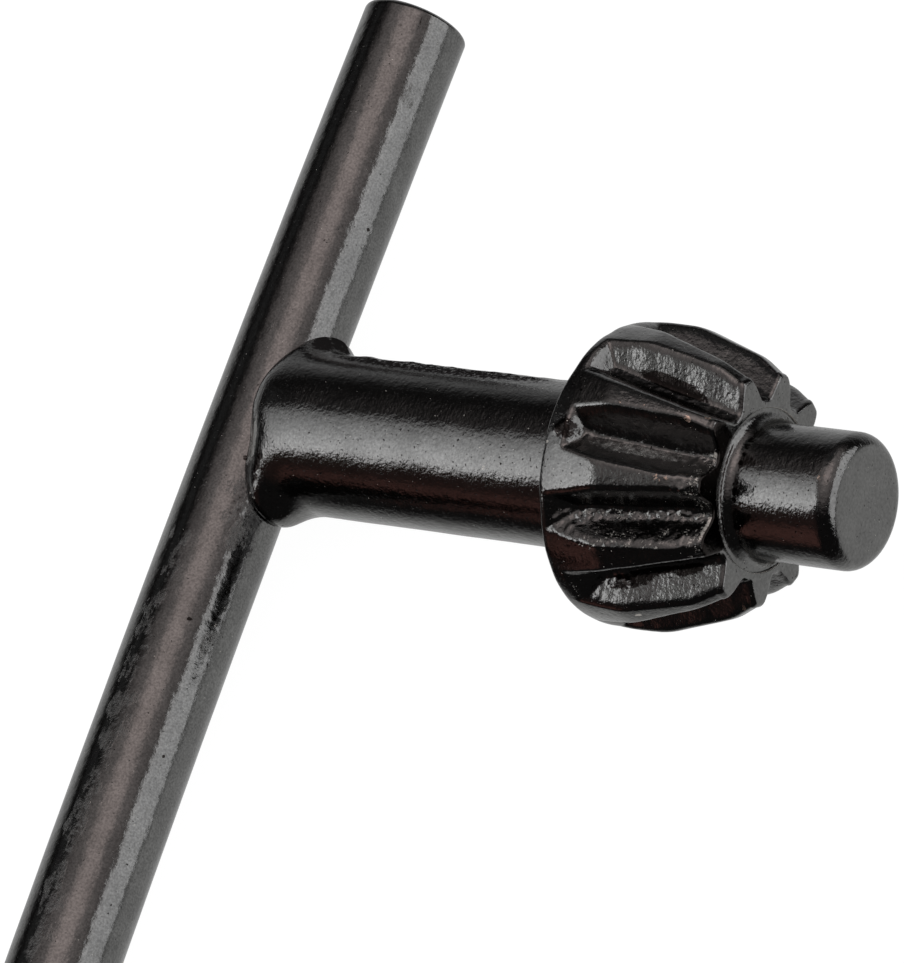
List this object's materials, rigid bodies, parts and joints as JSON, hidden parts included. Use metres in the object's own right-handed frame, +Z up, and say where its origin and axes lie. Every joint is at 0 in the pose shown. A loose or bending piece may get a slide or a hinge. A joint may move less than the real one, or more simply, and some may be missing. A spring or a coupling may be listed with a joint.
{
  "type": "drill chuck key",
  "caption": "Drill chuck key with a tapered toothed head, a round pilot pin, a short round shank and a cross bar welded across its end.",
  "frame": {"origin": "on the floor, under the centre of the key's bounding box", "axes": "+Y along the cross bar towards its short arm, +Z up, and the shank runs towards +X and rises 9.8 degrees from the bar to the head, as the key lies at rest; the bar's long arm slopes down 0.9 degrees to the floor"},
  "size_m": [0.0352, 0.058, 0.0136],
  "materials": {
    "body_coat": "glossy black coating with worn specks",
    "bar_coat": "satin black coating with scuffs"
  },
  "bodies": {
    "root": {"key_body": "body_coat", "tee_bar": "bar_coat"}
  },
  "joints": []
}
